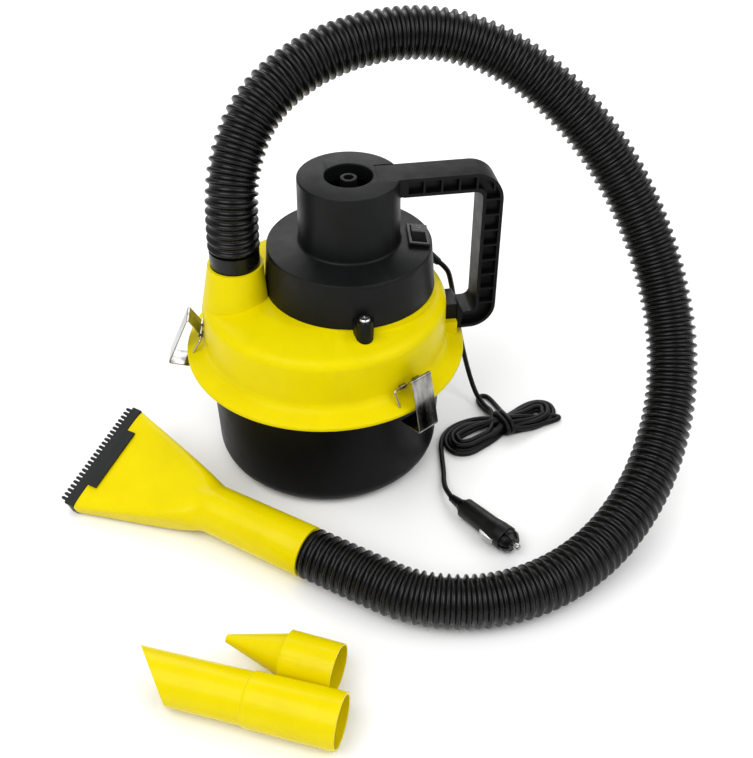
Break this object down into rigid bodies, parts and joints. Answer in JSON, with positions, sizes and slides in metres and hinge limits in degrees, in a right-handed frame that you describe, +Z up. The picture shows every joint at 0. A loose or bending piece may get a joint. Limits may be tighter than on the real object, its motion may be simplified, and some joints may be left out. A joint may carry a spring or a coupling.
{
  "type": "shop vacuum",
  "caption": "Small canister wet and dry vacuum: black tank, yellow lid, motor head with handle, corrugated hose with nozzle, loose nozzles and a lead with an accessory plug.",
  "frame": {"origin": "centre of the tank's base, on the surface it stands on", "axes": "+Z up, +X from the tank's axis towards the carrying handle, -X towards the hose socket"},
  "size_m": [0.5053, 0.4326, 0.3363],
  "materials": {
    "tank_black": "satin",
    "lid_yellow": "semi gloss",
    "cover_black": "satin",
    "handle_black": "satin",
    "nozzle_yellow": "gloss",
    "hose_black": "semi gloss",
    "comb_black": "matte",
    "chromed_sheet": "polished",
    "spring_wire": "bright",
    "screw_steel": "bright zinc",
    "switch_black": "semi gloss",
    "cord_black": "satin",
    "plug_black": "semi gloss",
    "contact_metal": "nickel",
    "fuse_glass": "clear",
    "gasket_rubber": "matte",
    "filter_cloth": "cloth",
    "filter_elastic": "matte",
    "cage_plastic": "matte",
    "float_plastic": "gloss",
    "motor_steel": "zinc plated",
    "core_steel": "laminated",
    "magnet_ferrite": "ferrite",
    "bush_bronze": "sintered",
    "commutator_copper": "copper",
    "brush_carbon": "carbon",
    "fan_plastic": "matte",
    "terminal_brass": "brass"
  },
  "bodies": {
    "tank": {"tank": "tank_black"},
    "head": {"lid": "lid_yellow", "lid_gasket": "gasket_rubber", "inlet_deflector": "cage_plastic", "housing_ring": "cover_black", "housing_screws": "screw_steel", "top_cover": "cover_black", "handle": "handle_black", "handle_screws": "screw_steel", "motor_can": "motor_steel", "motor_end_plate": "fan_plastic", "carbon_brushes": "brush_carbon", "motor_magnets": "magnet_ferrite", "motor_bushes": "bush_bronze", "motor_cap": "cover_black", "motor_mount": "fan_plastic", "fan_inlet_plate": "fan_plastic", "filter_cage": "cage_plastic", "filter_sleeve": "filter_cloth", "filter_band": "filter_elastic", "float_seat": "cage_plastic", "latch_staples": "spring_wire", "switch_bezel": "switch_black", "switch_body": "switch_black", "switch_terminals": "terminal_brass", "cord_boot": "cord_black", "cord_lead": "cord_black", "cord_hank": "cord_black", "cord_tail": "cord_black", "plug_boot": "plug_black", "plug_body": "plug_black", "plug_nose": "plug_black", "side_contacts": "contact_metal", "plug_fuse": "fuse_glass"},
    "rotor": {"motor_shaft": "motor_steel", "armature": "core_steel", "commutator": "commutator_copper", "impeller": "fan_plastic", "impeller_nut": "motor_steel"},
    "float": {"float_ball": "float_plastic"},
    "rocker": {"switch_rocker": "switch_black"},
    "clip_left": {"latch_clip_left": "chromed_sheet"},
    "clip_front": {"latch_clip_front": "chromed_sheet"},
    "clip_rear": {"latch_clip_rear": "chromed_sheet"},
    "hose": {"hose_top_cuff": "hose_black", "hose_tube": "hose_black", "hose_end_cuff": "hose_black"},
    "upholstery_nozzle": {"floor_nozzle": "nozzle_yellow", "comb_strip": "comb_black", "comb_clip": "comb_black"},
    "plug_centre_tip": {"plug_tip": "contact_metal"},
    "spare_crevice_nozzle": {"crevice_nozzle": "nozzle_yellow"},
    "spare_cone_nozzle": {"cone_nozzle": "nozzle_yellow"}
  },
  "joints": [
    {"name": "lid_lift", "type": "slide", "parent": "tank", "child": "head", "axis": [0, 0, 1], "range_m": [0, 0.12]},
    {"name": "rotor_spin", "type": "hinge", "parent": "head", "child": "rotor", "pos_m": [0.02, 0, 0.19], "axis": [0, 0, 1], "continuous": true},
    {"name": "float_rise", "type": "slide", "parent": "head", "child": "float", "axis": [0, 0, 1], "range_m": [0, 0.058]},
    {"name": "rocker_tilt", "type": "hinge", "parent": "head", "child": "rocker", "pos_m": [0.07167, -0.005, 0.19279], "axis": [-0.9848, 0.1035, 0.1392], "range_deg": [0, 18]},
    {"name": "clip_rear_open", "type": "hinge", "parent": "head", "child": "clip_rear", "pos_m": [0.04129, 0.08855, 0.114], "axis": [0.9063, -0.4226, 0], "range_deg": [0, 24]},
    {"name": "clip_front_open", "type": "hinge", "parent": "head", "child": "clip_front", "pos_m": [0.05177, -0.08285, 0.114], "axis": [-0.848, -0.5299, 0], "range_deg": [0, 34]},
    {"name": "clip_left_open", "type": "hinge", "parent": "head", "child": "clip_left", "pos_m": [-0.09717, 0.01021, 0.114], "axis": [0.1045, 0.9945, 0], "range_deg": [0, 24]},
    {"name": "hose_pull", "type": "slide", "parent": "head", "child": "hose", "axis": [0, 0, 1], "range_m": [0, 0.034]},
    {"name": "nozzle_pull", "type": "slide", "parent": "hose", "child": "upholstery_nozzle", "axis": [-0.7704, 0.6374, 0.014], "range_m": [0, 0.032]},
    {"name": "plug_tip_press", "type": "slide", "parent": "head", "child": "plug_centre_tip", "axis": [-0.5087, 0.8602, -0.0349], "range_m": [0, 0.003], "stiffness_N_per_m": 600},
    {"name": "crevice_nozzle_lift", "type": "slide", "parent": "tank", "child": "spare_crevice_nozzle", "axis": [0, 0, 1], "range_m": [0, 0.08]},
    {"name": "cone_nozzle_lift", "type": "slide", "parent": "tank", "child": "spare_cone_nozzle", "axis": [0, 0, 1], "range_m": [0, 0.08]}
  ]
}
